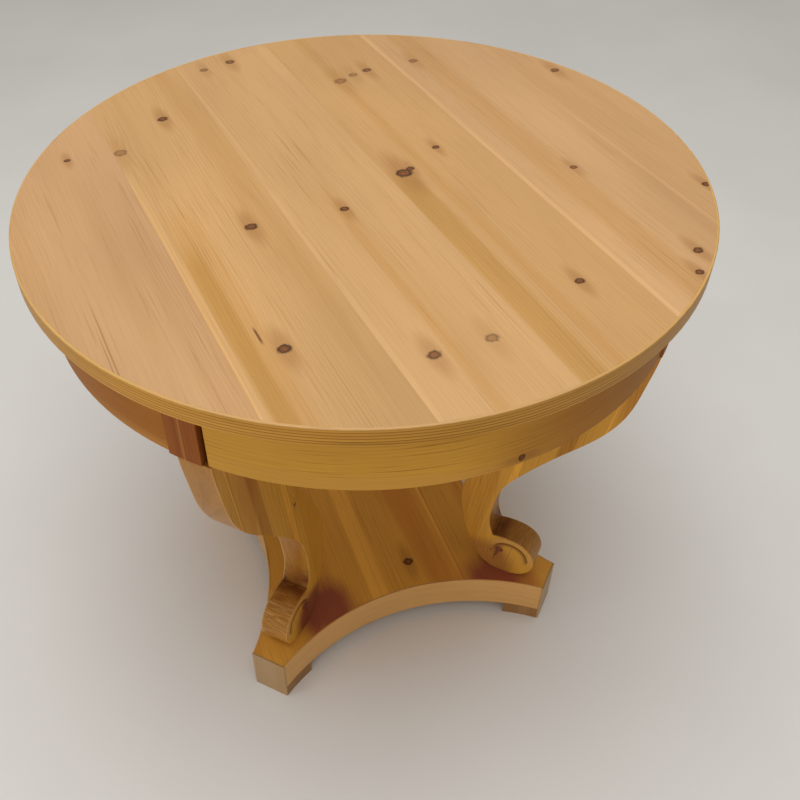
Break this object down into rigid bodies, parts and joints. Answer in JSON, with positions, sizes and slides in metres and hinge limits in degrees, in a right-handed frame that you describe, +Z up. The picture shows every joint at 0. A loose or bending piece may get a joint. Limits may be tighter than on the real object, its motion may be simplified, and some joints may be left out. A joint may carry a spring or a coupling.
{
  "type": "round pedestal table",
  "caption": "Round pine table on scroll-shaped board legs that stand on a low platform with concave sides.",
  "frame": {"origin": "on the floor, at the centre of the round top", "axes": "+Z up; -Y towards the side between the two front legs; the four legs stand on the diagonals of X and Y"},
  "size_m": [0.8999, 0.9, 0.762],
  "materials": {
    "top_pine": "satin clear varnish over light pine with knots",
    "edge_strip_pine": "satin clear varnish, grain along the rim",
    "apron_pine": "satin clear varnish over golden brown pine",
    "block_pine": "satin varnish over reddish brown pine",
    "leg_pine": "satin clear varnish over honey brown pine",
    "base_pine": "satin clear varnish over warm brown pine",
    "facing_pine": "satin clear varnish over light brown pine",
    "inner_pine": "bare sanded pine",
    "screw_steel": "zinc plated"
  },
  "bodies": {
    "root": {"top_edge_strip": "edge_strip_pine", "top_bearer_lower": "inner_pine", "top_bearer_upper": "inner_pine", "apron_glue_blocks": "inner_pine", "bearer_screws": "screw_steel", "leg_top_screws": "screw_steel", "leg_foot_screws": "screw_steel", "leg_foot_dowels": "inner_pine", "pad_screws": "screw_steel", "top_board_1": "top_pine", "top_board_2": "top_pine", "top_board_3": "top_pine", "top_board_4": "top_pine", "top_board_5": "top_pine", "top_board_6": "top_pine", "base_board_1": "base_pine", "base_board_2": "base_pine", "base_board_3": "base_pine", "base_board_4": "base_pine", "apron_front": "apron_pine", "apron_right": "apron_pine", "apron_back": "apron_pine", "apron_left": "apron_pine", "leg_front_left": "leg_pine", "apron_block_front_left_1": "block_pine", "apron_block_front_left_2": "block_pine", "base_corner_block_front_left": "inner_pine", "base_corner_facing_front_left": "facing_pine", "foot_pad_front_left": "facing_pine", "leg_front_right": "leg_pine", "apron_block_front_right_1": "block_pine", "apron_block_front_right_2": "block_pine", "base_corner_block_front_right": "inner_pine", "base_corner_facing_front_right": "facing_pine", "foot_pad_front_right": "facing_pine", "leg_back_right": "leg_pine", "apron_block_back_right_1": "block_pine", "apron_block_back_right_2": "block_pine", "base_corner_block_back_right": "inner_pine", "base_corner_facing_back_right": "facing_pine", "foot_pad_back_right": "facing_pine", "leg_back_left": "leg_pine", "apron_block_back_left_1": "block_pine", "apron_block_back_left_2": "block_pine", "base_corner_block_back_left": "inner_pine", "base_corner_facing_back_left": "facing_pine", "foot_pad_back_left": "facing_pine", "base_rail_front": "inner_pine", "base_side_facing_front": "facing_pine", "base_rail_right": "inner_pine", "base_side_facing_right": "facing_pine", "base_rail_back": "inner_pine", "base_side_facing_back": "facing_pine", "base_rail_left": "inner_pine", "base_side_facing_left": "facing_pine"}
  },
  "joints": []
}
